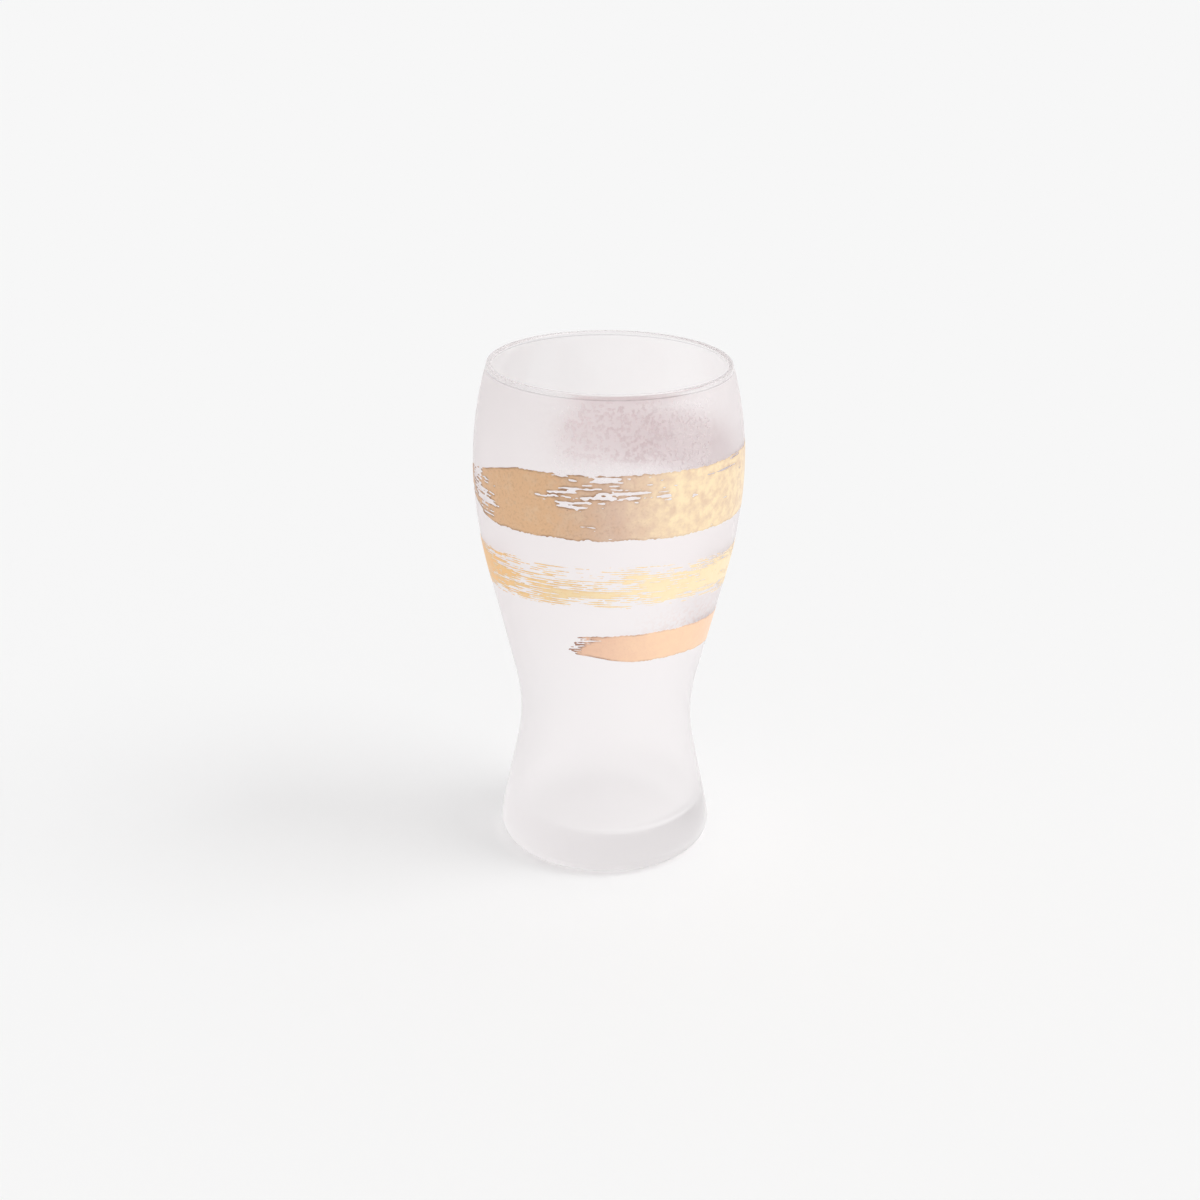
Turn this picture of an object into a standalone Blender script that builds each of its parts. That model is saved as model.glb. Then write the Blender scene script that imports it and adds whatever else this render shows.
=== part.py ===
"""Waisted beer glass: one blown glass with a thick round foot, and three brushed gold bands on its wall.

Units are metres and +Z is up. The origin is the middle of the foot, on the table, and -Y is the front.
Angles round the glass are in degrees from the front, growing to the right.
"""

import math
import random

import bmesh
import bpy

# Driving dimensions of the glass. Its heights stack from the table: foot, waist, belly, rim.
FOOT_DIAMETER = 0.0574  # widest line of the foot
FOOT_EDGE_RADIUS = 0.0044  # rounding from that line down to the table
FOOT_RING_WIDTH = 0.0040  # flat ring that stands on the table
PUNT_DEPTH = 0.0015  # hollow under the base
WAIST_DIAMETER = 0.0461
WAIST_HEIGHT = 0.0374  # table to waist
BELLY_DIAMETER = 0.0703
BELLY_RISE = 0.0704  # waist to belly
RIM_DIAMETER = 0.0626
SHOULDER_RISE = 0.0262  # belly to rim

# Heights over which the wall bends between upright and its straight cones
FOOT_BEND = 0.0020
WAIST_BEND_BELOW = 0.0100
WAIST_BEND_ABOVE = 0.0120
BELLY_BEND = 0.0285

# Inside of the glass
RIM_WALL = 0.0013  # wall just under the rim
FOOT_WALL = 0.0032  # wall beside the well
BASE_THICKNESS = 0.0090  # table to the floor of the well
WELL_CORNER_RADIUS = 0.0050  # rounding between that floor and the wall

# Gold films, thicker here than fired gold so that they are solids
FILM_GAP = 0.0001
FILM_THICKNESS = 0.0002

# Each band lies in a plane that tilts a little, so it has a crest. Its ends taper, as the brush is round:
# the bristles at its upper and lower side land later and lift sooner than those in the middle. Single
# bundles of bristles fray further, and dry slits open along the lines between bundles.

# Upper band, from the left side round the front and the right to the back
UPPER_BELOW_BELLY = 0.0014  # belly line to the middle of the band at its crest
UPPER_WIDTH = 0.0168
UPPER_TILT = 0.0012  # how far the band drops in a quarter turn from its crest
UPPER_CREST_ANGLE = 14
UPPER_START_ANGLE = -98
UPPER_END_ANGLE = 212
UPPER_LANDING_ANGLE_TOP = 42  # how much later its upper side lands
UPPER_LANDING_ANGLE_BOTTOM = 36
UPPER_LIFTING_ANGLE = 20  # how much sooner its sides lift
UPPER_FRAY_ANGLE = 10
UPPER_BUNDLE_COUNT = 9
UPPER_SLIT_COUNT = 2  # along each line between bundles
UPPER_SLIT_SHARE = 0.16  # part of a bundle that a slit takes from each side

# Middle band, the driest, across the front
MIDDLE_BELOW_BELLY = 0.0230
MIDDLE_WIDTH = 0.0120
MIDDLE_TILT = 0.0035
MIDDLE_CREST_ANGLE = -3
MIDDLE_START_ANGLE = -105
MIDDLE_END_ANGLE = 105
MIDDLE_LANDING_ANGLE_TOP = 10
MIDDLE_LANDING_ANGLE_BOTTOM = 10
MIDDLE_LIFTING_ANGLE = 10
MIDDLE_FRAY_ANGLE = 14
MIDDLE_BUNDLE_COUNT = 8
MIDDLE_SLIT_COUNT = 4
MIDDLE_SLIT_SHARE = 0.28

# Lower band, from a brush tip at the front round to the right side
LOWER_BELOW_BELLY = 0.0414
LOWER_WIDTH = 0.0086
LOWER_TILT = 0.0050
LOWER_CREST_ANGLE = 22
LOWER_START_ANGLE = -19.5
LOWER_END_ANGLE = 115
LOWER_LANDING_ANGLE_TOP = 3
LOWER_LANDING_ANGLE_BOTTOM = 34
LOWER_LIFTING_ANGLE = 8
LOWER_FRAY_ANGLE = 5
LOWER_BUNDLE_COUNT = 6
LOWER_SLIT_COUNT = 0
LOWER_SLIT_SHARE = 0.0

# How the taper grows from the middle of the brush to its sides
ROUND_BRUSH_POWER = 1.5

# Facets
SEGMENTS = 64
ARC_STEPS = 5
BEND_STEPS = 6
LIP_STEPS = 6

SPOKE = 360 / SEGMENTS
WAIST_RADIUS = WAIST_DIAMETER / 2
BELLY_RADIUS = BELLY_DIAMETER / 2
FOOT_RADIUS = FOOT_DIAMETER / 2
BELLY_HEIGHT = WAIST_HEIGHT + BELLY_RISE
HEIGHT = BELLY_HEIGHT + SHOULDER_RISE


def s_curve(up, rise, shift, lower_bend, upper_bend):
    """Sideways shift of a wall that leaves upright, runs as a straight cone and ends upright."""
    slope = shift / (rise - (lower_bend + upper_bend) / 2)
    if up < lower_bend:
        return slope * up * up / (2 * lower_bend)
    if up > rise - upper_bend:
        return shift - slope * (rise - up) ** 2 / (2 * upper_bend)
    return slope * (up - lower_bend / 2)


def outer_radius(z):
    """Radius of the outside of the glass at height z."""
    if z < FOOT_EDGE_RADIUS:
        below = FOOT_EDGE_RADIUS - z
        return FOOT_RADIUS - FOOT_EDGE_RADIUS + math.sqrt(FOOT_EDGE_RADIUS**2 - below**2)
    if z < WAIST_HEIGHT:
        rise = WAIST_HEIGHT - FOOT_EDGE_RADIUS
        shift = WAIST_RADIUS - FOOT_RADIUS
        return FOOT_RADIUS + s_curve(z - FOOT_EDGE_RADIUS, rise, shift, FOOT_BEND, WAIST_BEND_BELOW)
    if z < BELLY_HEIGHT:
        shift = BELLY_RADIUS - WAIST_RADIUS
        return WAIST_RADIUS + s_curve(z - WAIST_HEIGHT, BELLY_RISE, shift, WAIST_BEND_ABOVE, BELLY_BEND)
    drawn_in = BELLY_RADIUS - RIM_DIAMETER / 2
    return BELLY_RADIUS - drawn_in * ((z - BELLY_HEIGHT) / SHOULDER_RISE) ** 2


def inner_radius(z):
    """Radius of the inside. The wall thins from the foot to the rim."""
    depth = (HEIGHT - z) / HEIGHT
    return outer_radius(z) - RIM_WALL - (FOOT_WALL - RIM_WALL) * depth**2


def arc(centre, radius, start, end, steps):
    """Points (radius, height) on a circle in the profile plane, angles in radians."""
    turns = [start + (end - start) * i / steps for i in range(steps + 1)]
    return [(centre[0] + radius * math.cos(t), centre[1] + radius * math.sin(t)) for t in turns]


def wall_heights(bottom, top):
    """Heights of the rings of a wall: close together on its bends, with none between on its cones."""
    stops = (
        (FOOT_EDGE_RADIUS + FOOT_BEND, 1),
        (WAIST_HEIGHT - WAIST_BEND_BELOW, 1),
        (WAIST_HEIGHT + WAIST_BEND_ABOVE, BEND_STEPS),
        (BELLY_HEIGHT - BELLY_BEND, 1),
        (top, 2 * BEND_STEPS),
    )
    heights = [bottom]
    for stop, steps in stops:
        start = heights[-1]
        if stop > start:
            heights += [start + (stop - start) * i / steps for i in range(1, steps + 1)]
    return heights


def underside():
    """Shallow punt, out to the flat ring of the foot."""
    ring_inside = FOOT_RADIUS - FOOT_EDGE_RADIUS - FOOT_RING_WIDTH
    radii = [ring_inside * i / ARC_STEPS for i in range(ARC_STEPS + 1)]
    return [(r, PUNT_DEPTH * (1 - (r / ring_inside) ** 2)) for r in radii]


def outside(top):
    """Foot edge, lower cone, waist, upper cone, belly and shoulder, up to the height top."""
    foot_centre = (FOOT_RADIUS - FOOT_EDGE_RADIUS, FOOT_EDGE_RADIUS)
    foot = arc(foot_centre, FOOT_EDGE_RADIUS, -math.pi / 2, 0, ARC_STEPS)
    heights = wall_heights(FOOT_EDGE_RADIUS, top)
    return foot + [(outer_radius(z), z) for z in heights[1:]]


def lip(top):
    """Fire-polished edge: a half round from the outer wall over to the inner one."""
    middle = (outer_radius(top) + inner_radius(top)) / 2
    half = (outer_radius(top) - inner_radius(top)) / 2
    turns = [math.pi * i / LIP_STEPS for i in range(1, LIP_STEPS)]
    return [(middle + half * math.cos(t), top + (HEIGHT - top) * math.sin(t)) for t in turns]


def inside(top):
    """Inner wall from the height top down, the rounded corner of the well and its floor."""
    corner = WELL_CORNER_RADIUS
    probe = BASE_THICKNESS + corner
    slope = (inner_radius(probe + corner) - inner_radius(probe)) / corner
    lean = math.atan(slope)
    touch = probe - corner * math.sin(lean)
    corner_centre = (inner_radius(touch) - corner * math.cos(lean), probe)
    wall = [(inner_radius(z), z) for z in reversed(wall_heights(touch, top)[1:])]
    return wall + arc(corner_centre, corner, -lean, -math.pi / 2, ARC_STEPS) + [(0, BASE_THICKNESS)]


def glass_profile():
    """Closed half section of the glass, from the middle of the punt round to the middle of the well."""
    lip_base = HEIGHT - RIM_WALL / 2
    return underside() + outside(lip_base) + lip(lip_base) + inside(lip_base)


def principled(name, colour, roughness, metallic=0.0, transmission=0.0):
    material = bpy.data.materials.new(name)
    material.use_nodes = True
    material.diffuse_color = (*colour, 1)
    shader = material.node_tree.nodes["Principled BSDF"]
    shader.inputs["Base Color"].default_value = (*colour, 1)
    shader.inputs["Roughness"].default_value = roughness
    shader.inputs["Metallic"].default_value = metallic
    shader.inputs["Transmission Weight"].default_value = transmission
    return material


def add_object(name, bm, material, parent):
    """Turns a bmesh into a smooth-shaded object under parent."""
    mesh = bpy.data.meshes.new(name)
    bm.to_mesh(mesh)
    bm.free()
    mesh.shade_smooth()
    mesh.set_sharp_from_angle(angle=math.radians(40))
    mesh.materials.append(material)
    obj = bpy.data.objects.new(name, mesh)
    obj.parent = parent
    bpy.context.scene.collection.objects.link(obj)
    return obj


def make_glass(parent):
    """The glass itself: its half section spun round the upright axis."""
    bm = bmesh.new()
    verts = [bm.verts.new((r, 0, z)) for r, z in glass_profile()]
    edges = [bm.edges.new(pair) for pair in zip(verts, verts[1:])]
    bmesh.ops.spin(
        bm,
        geom=verts + edges,
        axis=(0, 0, 1),
        cent=(0, 0, 0),
        angle=2 * math.pi,
        steps=SEGMENTS,
        use_merge=True,
    )
    bmesh.ops.remove_doubles(bm, verts=bm.verts, dist=1e-6)
    bmesh.ops.recalc_face_normals(bm, faces=bm.faces)
    frosted = principled("frosted_glass", (0.93, 0.90, 0.90), 0.45, transmission=1.0)
    return add_object("glass_body", bm, frosted, parent)


class Band:
    """A brushed band: bundles of bristles side by side, with frayed ends and dry slits between them."""

    def __init__(self, below_belly, width, tilt, crest, bundles, slit_share):
        self.middle = BELLY_HEIGHT - below_belly
        self.width = width
        self.tilt = tilt
        self.crest = crest
        self.bundles = bundles
        self.slit_share = slit_share

    def brush(self, start, end, landing, lifting, fray, slits, seed):
        """Draws where each bundle lands and lifts, and where the slits between bundles are."""
        draw = random.Random(seed)
        self.ends = []
        for k in range(self.bundles):
            share = 2 * (k + 0.5) / self.bundles - 1
            taper = abs(share) ** ROUND_BRUSH_POWER
            first = start + landing[share > 0] * taper + fray * draw.random()
            last = end - lifting * taper - fray * draw.random()
            self.ends.append((round(first / SPOKE), round(last / SPOKE)))
        self.slits = [self.line_slits(j, slits, draw) for j in range(self.bundles + 1)]

    def line_slits(self, j, count, draw):
        """Slits (first spoke, last spoke) along the line between bundles j - 1 and j."""
        if j in (0, self.bundles):
            return []
        first = max(self.ends[j - 1][0], self.ends[j][0]) + 1
        last = min(self.ends[j - 1][1], self.ends[j][1]) - 1
        stretch = (last - first) / count if count else 0
        found = []
        for i in range(count):
            opens = first + math.ceil(stretch * (i + draw.uniform(0.0, 0.4)))
            closes = first + math.floor(stretch * (i + draw.uniform(0.6, 1.0)))
            if closes - opens > 1:
                found.append((opens, closes))
        return found

    def line_height(self, j, spoke):
        """Height of the line under bundle j, before any slit opens it."""
        drop = self.tilt * (1 - math.cos(math.radians(spoke * SPOKE - self.crest)))
        return self.middle - drop + self.width * (j / self.bundles - 0.5)

    def opening(self, j, spoke):
        """Half the height of the slit that is open at this spoke, or nothing."""
        for opens, closes in self.slits[j]:
            if opens < spoke < closes:
                along = (spoke - opens) / (closes - opens)
                return self.slit_share * self.width / self.bundles * math.sin(math.pi * along)
        return 0.0

    def edges(self, k, spoke):
        """Lower and upper height of bundle k at a spoke."""
        low = self.line_height(k, spoke) + self.opening(k, spoke)
        high = self.line_height(k + 1, spoke) - self.opening(k + 1, spoke)
        return low, high


def on_wall(spoke, z):
    """Point on the underside of a film, FILM_GAP off the outside of the glass."""
    turn = math.radians(spoke * SPOKE)
    radius = outer_radius(z) + FILM_GAP
    return radius * math.sin(turn), -radius * math.cos(turn), z


def add_bundle(bm, band, k):
    """One bundle of bristles: a strip of quads along the wall with a pointed tip at each end."""
    first, last = band.ends[k]
    rungs = []
    for spoke in range(first, last + 1):
        rungs.append([bm.verts.new(on_wall(spoke, z)) for z in band.edges(k, spoke)])
    for here, there in zip(rungs, rungs[1:]):
        bm.faces.new((here[0], there[0], there[1], here[1]))
    for spoke, beyond, rung in ((first, -1, rungs[0]), (last, 1, rungs[-1])):
        low, high = band.edges(k, spoke)
        tip = bm.verts.new(on_wall(spoke + beyond, (low + high) / 2))
        bm.faces.new((rung[0], tip, rung[1]) if beyond > 0 else (rung[0], rung[1], tip))


def make_band(name, band, colour, parent):
    """A gold film: all bundles of a band welded along their lines, given the film's thickness."""
    bm = bmesh.new()
    for k in range(band.bundles):
        add_bundle(bm, band, k)
    bmesh.ops.remove_doubles(bm, verts=bm.verts, dist=1e-6)
    gold = principled(name + "_gold", colour, 0.30, metallic=1.0)
    obj = add_object(name, bm, gold, parent)
    film = obj.modifiers.new("film", "SOLIDIFY")
    film.thickness = FILM_THICKNESS
    film.offset = 1.0
    return obj


def brimful_capacity():
    """Volume inside the glass up to its rim, in millilitres."""
    steps = 2000
    slice_height = (HEIGHT - BASE_THICKNESS) / steps
    heights = [BASE_THICKNESS + slice_height * (i + 0.5) for i in range(steps)]
    return sum(math.pi * inner_radius(z) ** 2 * slice_height for z in heights) * 1e6


def main():
    for obj in list(bpy.data.objects):
        bpy.data.objects.remove(obj)
    root = bpy.data.objects.new("beer_glass", None)
    bpy.context.scene.collection.objects.link(root)
    make_glass(root)
    upper = Band(
        below_belly=UPPER_BELOW_BELLY,
        width=UPPER_WIDTH,
        tilt=UPPER_TILT,
        crest=UPPER_CREST_ANGLE,
        bundles=UPPER_BUNDLE_COUNT,
        slit_share=UPPER_SLIT_SHARE,
    )
    upper.brush(
        start=UPPER_START_ANGLE,
        end=UPPER_END_ANGLE,
        landing=(UPPER_LANDING_ANGLE_BOTTOM, UPPER_LANDING_ANGLE_TOP),
        lifting=UPPER_LIFTING_ANGLE,
        fray=UPPER_FRAY_ANGLE,
        slits=UPPER_SLIT_COUNT,
        seed=4,
    )
    middle = Band(
        below_belly=MIDDLE_BELOW_BELLY,
        width=MIDDLE_WIDTH,
        tilt=MIDDLE_TILT,
        crest=MIDDLE_CREST_ANGLE,
        bundles=MIDDLE_BUNDLE_COUNT,
        slit_share=MIDDLE_SLIT_SHARE,
    )
    middle.brush(
        start=MIDDLE_START_ANGLE,
        end=MIDDLE_END_ANGLE,
        landing=(MIDDLE_LANDING_ANGLE_BOTTOM, MIDDLE_LANDING_ANGLE_TOP),
        lifting=MIDDLE_LIFTING_ANGLE,
        fray=MIDDLE_FRAY_ANGLE,
        slits=MIDDLE_SLIT_COUNT,
        seed=9,
    )
    lower = Band(
        below_belly=LOWER_BELOW_BELLY,
        width=LOWER_WIDTH,
        tilt=LOWER_TILT,
        crest=LOWER_CREST_ANGLE,
        bundles=LOWER_BUNDLE_COUNT,
        slit_share=LOWER_SLIT_SHARE,
    )
    lower.brush(
        start=LOWER_START_ANGLE,
        end=LOWER_END_ANGLE,
        landing=(LOWER_LANDING_ANGLE_BOTTOM, LOWER_LANDING_ANGLE_TOP),
        lifting=LOWER_LIFTING_ANGLE,
        fray=LOWER_FRAY_ANGLE,
        slits=LOWER_SLIT_COUNT,
        seed=2,
    )
    make_band("gold_band_upper", upper, (0.66, 0.44, 0.24), root)
    make_band("gold_band_middle", middle, (0.87, 0.66, 0.30), root)
    make_band("gold_band_lower", lower, (0.84, 0.52, 0.34), root)
    print(f"height {HEIGHT * 1000:.1f} mm, brimful capacity {brimful_capacity():.0f} ml")


main()
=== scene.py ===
# %% [markdown]
# # A waisted beer glass with brushed gold bands
# The real object is one blown glass: a thick round foot, a narrow waist, a full belly and a rim
# drawn in a little. Its outside is frosted, its inside is clear, and three bands of liquid gold were
# brushed on and fired. The lesson builds the glass, the frost, the gold and a pale studio, in that
# order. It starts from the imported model, which gives the size and the place of every piece.

# %% Load the frame
import math
from dataclasses import dataclass

import bmesh
import bpy
import numpy as np
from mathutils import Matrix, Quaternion, Vector


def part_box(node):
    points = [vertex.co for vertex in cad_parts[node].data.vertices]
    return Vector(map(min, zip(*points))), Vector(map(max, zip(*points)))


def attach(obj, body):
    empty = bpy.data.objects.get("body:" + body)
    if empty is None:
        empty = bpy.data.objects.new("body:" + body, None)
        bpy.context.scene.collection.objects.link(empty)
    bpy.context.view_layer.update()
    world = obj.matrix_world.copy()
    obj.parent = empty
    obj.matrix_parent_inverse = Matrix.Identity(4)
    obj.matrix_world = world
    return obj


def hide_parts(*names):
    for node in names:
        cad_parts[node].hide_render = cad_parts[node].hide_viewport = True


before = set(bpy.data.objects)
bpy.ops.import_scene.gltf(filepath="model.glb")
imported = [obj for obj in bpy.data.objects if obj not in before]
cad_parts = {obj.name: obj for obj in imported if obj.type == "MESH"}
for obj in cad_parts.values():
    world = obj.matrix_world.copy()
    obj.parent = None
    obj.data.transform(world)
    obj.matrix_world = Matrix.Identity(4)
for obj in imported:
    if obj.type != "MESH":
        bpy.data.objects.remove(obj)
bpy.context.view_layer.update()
print("pieces in the frame:", sorted(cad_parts))

# %% [markdown]
# ## The sizes of the glass
# A glass blower thinks in a few sizes: how wide the foot, the waist, the belly and the rim are, and
# how high each stands above the one before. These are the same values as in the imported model, in
# metres. They could be measured back from its mesh, but a facetted mesh only gives them roughly, so
# they are written out again, and the height is compared with the frame.

# %% Sizes of the glass
FOOT_DIAMETER = 0.0574
FOOT_EDGE_RADIUS = 0.0044
FOOT_RING_WIDTH = 0.0040
PUNT_DEPTH = 0.0015
WAIST_DIAMETER = 0.0461
WAIST_HEIGHT = 0.0374
BELLY_DIAMETER = 0.0703
BELLY_RISE = 0.0704
RIM_DIAMETER = 0.0626
SHOULDER_RISE = 0.0262

FOOT_BEND = 0.0020
WAIST_BEND_BELOW = 0.0100
WAIST_BEND_ABOVE = 0.0120
BELLY_BEND = 0.0285

RIM_WALL = 0.0013
FOOT_WALL = 0.0032
BASE_THICKNESS = 0.0090
WELL_CORNER_RADIUS = 0.0050

FOOT_RADIUS = FOOT_DIAMETER / 2
WAIST_RADIUS = WAIST_DIAMETER / 2
BELLY_RADIUS = BELLY_DIAMETER / 2
BELLY_HEIGHT = WAIST_HEIGHT + BELLY_RISE
HEIGHT = BELLY_HEIGHT + SHOULDER_RISE

glass_low, glass_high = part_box("glass_body")
print(f"height {HEIGHT:.4f} m, and {glass_high.z - glass_low.z:.4f} m in the frame")

# %% [markdown]
# ## The line of the wall
# Seen from the side, the wall leaves the foot upright, leans in, turns upright at the waist, leans
# out and turns upright again at the belly. Such a line could be drawn as a Bezier curve by eye. Here
# each stretch is a straight cone with a parabola at both ends, and the shoulder is one more parabola,
# because then the radius at any height is one short formula. The gold needs that formula too: it has
# to lie on the wall at every height.


# %% Radius of the wall at a height
def s_curve(up, rise, shift, lower_bend, upper_bend):
    """Sideways shift of a wall that leaves upright, runs as a straight cone and ends upright."""
    slope = shift / (rise - (lower_bend + upper_bend) / 2)
    if up < lower_bend:
        return slope * up * up / (2 * lower_bend)
    if up > rise - upper_bend:
        return shift - slope * (rise - up) ** 2 / (2 * upper_bend)
    return slope * (up - lower_bend / 2)


def outer_radius(z):
    """Radius of the outside of the glass at height z."""
    if z < FOOT_EDGE_RADIUS:
        below = FOOT_EDGE_RADIUS - z
        return FOOT_RADIUS - FOOT_EDGE_RADIUS + math.sqrt(FOOT_EDGE_RADIUS**2 - below**2)
    if z < WAIST_HEIGHT:
        rise = WAIST_HEIGHT - FOOT_EDGE_RADIUS
        shift = WAIST_RADIUS - FOOT_RADIUS
        return FOOT_RADIUS + s_curve(z - FOOT_EDGE_RADIUS, rise, shift, FOOT_BEND, WAIST_BEND_BELOW)
    if z < BELLY_HEIGHT:
        shift = BELLY_RADIUS - WAIST_RADIUS
        up = z - WAIST_HEIGHT
        return WAIST_RADIUS + s_curve(up, BELLY_RISE, shift, WAIST_BEND_ABOVE, BELLY_BEND)
    drawn_in = BELLY_RADIUS - RIM_DIAMETER / 2
    return BELLY_RADIUS - drawn_in * ((z - BELLY_HEIGHT) / SHOULDER_RISE) ** 2


def inner_radius(z):
    """Radius of the inside. The wall thins from the foot to the rim."""
    depth = (HEIGHT - z) / HEIGHT
    return outer_radius(z) - RIM_WALL - (FOOT_WALL - RIM_WALL) * depth**2


for place, level in (("waist", WAIST_HEIGHT), ("belly", BELLY_HEIGHT)):
    print(f"{place}: {2 * outer_radius(level):.4f} m wide")

# %% [markdown]
# ## The section of the glass
# Cut the glass in half and its edge is one closed line: under the base, up the outside, over the
# lip, down the inside and across the floor of the well. The line is kept in three stretches, because
# they have three finishes. The frost covers the outside and stops just under the rim, where the edge
# was melted round in a flame after the frosting. The flame left the lip half clear, and the inside
# was never frosted. A fine grey line where the frost ends, and a little grey on the rest of the lip,
# are painted shade: they stand in for the dark rim that the rounded lip shows.

# %% Section in three stretches
WALL_STEP = 0.0030
ARC_STEPS = 14
LIP_STEPS = 16
CLEAR_LIP = 0.0014
LINE_WIDTH = 0.0003

lip_base = HEIGHT - RIM_WALL / 2
frost_top = HEIGHT - CLEAR_LIP


def arc(centre, radius, start, end):
    """Points (radius, height) on a circle in the plane of the section, angles in radians."""
    turns = [start + (end - start) * i / ARC_STEPS for i in range(ARC_STEPS + 1)]
    return [(centre[0] + radius * math.cos(t), centre[1] + radius * math.sin(t)) for t in turns]


def heights_between(low, high):
    """Even heights from low to high, both included."""
    steps = math.ceil((high - low) / WALL_STEP)
    return [low + (high - low) * i / steps for i in range(steps + 1)]


def frosted_section():
    """From the middle of the punt, round the foot and up the outside to where the frost ends."""
    ring_inside = FOOT_RADIUS - FOOT_EDGE_RADIUS - FOOT_RING_WIDTH
    radii = [ring_inside * i / ARC_STEPS for i in range(ARC_STEPS + 1)]
    punt = [(r, PUNT_DEPTH * (1 - (r / ring_inside) ** 2)) for r in radii]
    foot_centre = (FOOT_RADIUS - FOOT_EDGE_RADIUS, FOOT_EDGE_RADIUS)
    foot = arc(foot_centre, FOOT_EDGE_RADIUS, -math.pi / 2, 0)
    wall = [(outer_radius(z), z) for z in heights_between(FOOT_EDGE_RADIUS, frost_top)]
    return punt + foot + wall[1:]


def lip_section():
    """From just above the frost over the half round of the lip to the inner wall."""
    line_top = frost_top + LINE_WIDTH
    middle = (outer_radius(lip_base) + inner_radius(lip_base)) / 2
    half = (outer_radius(lip_base) - inner_radius(lip_base)) / 2
    turns = [math.pi * i / LIP_STEPS for i in range(LIP_STEPS + 1)]
    rise = HEIGHT - lip_base
    lip = [(middle + half * math.cos(t), lip_base + rise * math.sin(t)) for t in turns]
    return [(outer_radius(line_top), line_top)] + lip


def inner_section():
    """From under the lip down the inside, round the corner of the well to the middle of its floor."""
    corner = WELL_CORNER_RADIUS
    probe = BASE_THICKNESS + corner
    lean = math.atan((inner_radius(probe + corner) - inner_radius(probe)) / corner)
    touch = probe - corner * math.sin(lean)
    wall = [(inner_radius(z), z) for z in reversed(heights_between(touch, lip_base))]
    well = arc((inner_radius(touch) - corner * math.cos(lean), probe), corner, -lean, -math.pi / 2)
    return wall[1:-1] + well + [(0, BASE_THICKNESS)]


outside_line = frosted_section()
lip_line = lip_section()
inside_line = inner_section()
for place, line in (("outside", outside_line), ("lip", lip_line), ("inside", inside_line)):
    print(f"{place}: {len(line)} points")

# %% [markdown]
# ## Spinning the glass
# A lathe shape like this could come from a Screw modifier or the spin operator. Here the rings are
# written out in a short loop, which is quick at this many facets and lets every face keep notes of
# its finish. One note is the frost: 1 on the outside, about half on the lip, 0 inside. The other is
# the painted shade of the lip: 1 on the fine line where the frost ends, and little on the rest of the
# lip. The volume of the closed body is a good test: it comes out negative if the faces point inwards.

# %% The glass
SEGMENTS = 576
LIP_FROST = 0.45
# Share of painted shade on the lip, away from the line where the frost ends.
PAINTED_LIP_SHADE = 0.18


def lathe(section):
    """Points and faces of a section spun round the upright axis. Both its ends lie on the axis."""
    turns = [2 * math.pi * i / SEGMENTS for i in range(SEGMENTS)]
    points = [(r * math.cos(t), r * math.sin(t), z) for r, z in section[1:-1] for t in turns]
    bottom, top = len(points), len(points) + 1
    points += [(0, 0, section[0][1]), (0, 0, section[-1][1])]
    faces = []
    for ring in range(-1, len(section) - 2):
        for here in range(SEGMENTS):
            there = (here + 1) % SEGMENTS
            low = [ring * SEGMENTS + here, ring * SEGMENTS + there] if ring >= 0 else [bottom]
            last = ring == len(section) - 3
            high = [top] if last else [(ring + 1) * SEGMENTS + there, (ring + 1) * SEGMENTS + here]
            faces.append(low + high)
    return points, faces


def add_piece(name, mesh, node):
    """Puts a mesh into the scene as the piece that stands for a node of the frame."""
    piece = bpy.data.objects.new(name, mesh)
    bpy.context.scene.collection.objects.link(piece)
    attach(piece, "root")
    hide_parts(node)
    return piece


def note_faces(mesh, name, ring_values):
    """Keeps one value per ring of faces as an attribute of the mesh."""
    values = np.repeat(np.array(ring_values, float), SEGMENTS)
    mesh.attributes.new(name, "FLOAT", "FACE").data.foreach_set("value", values)


glass_points, glass_faces = lathe(outside_line + lip_line + inside_line)
glass_mesh = bpy.data.meshes.new("beer_glass")
glass_mesh.from_pydata(glass_points, [], glass_faces)
glass_mesh.shade_smooth()
outside_rings = len(outside_line) - 1
lip_rings = len(lip_line)
inside_rings = len(inside_line)
note_faces(glass_mesh, "frost", [1] * outside_rings + [LIP_FROST] * lip_rings + [0] * inside_rings)
# The lip_line note holds painted shade: full on the line where the frost ends, a little over the lip.
painted_lip_shades = [1] + [PAINTED_LIP_SHADE] * (lip_rings - 1)
note_faces(glass_mesh, "lip_line", [0] * outside_rings + painted_lip_shades + [0] * inside_rings)
add_piece("beer_glass", glass_mesh, "glass_body")

glass_bm = bmesh.new()
glass_bm.from_mesh(glass_mesh)
print(f"glass: {len(glass_faces)} faces, {glass_bm.calc_volume(signed=True) * 1e6:.1f} ml of glass")
glass_bm.free()

# %% [markdown]
# ## Frosted glass and clear glass
# Frosting leaves a fine grain of pits that bends light a little to all sides, so shapes behind it
# blur and fade. A Principled shader with full transmission and some roughness does that, and the
# notes on the faces say where. On the front of the shoulder the frost has small bare spots, which are
# a little darker and show what lies behind more sharply. Above the right of the lower gold, fine
# purplish spots in the frost are a painted reflection: they stand in for the gold's underside
# mirrored in the wall. From above the waist up the frost has a faint blush. The glass also swallows a
# trace of light, so the thick base, where light travels far inside it, turns grey. Two materials
# could be used, but light that goes in by one and out by the other would lose its way, so the whole
# body has a single one.

# %% Glass finish
FROST_TINT = (0.968, 0.933, 0.938)
BLUSH_TINT = (0.972, 0.918, 0.921)
CLEAR_TINT = (1.0, 1.0, 1.0)
# Painted shade: the grey of the lip, for the dark rim that the rounded lip shows.
PAINTED_LIP_SHADE_TINT = (0.66, 0.63, 0.643)
BARE_TINT = (0.875, 0.815, 0.82)
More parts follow.
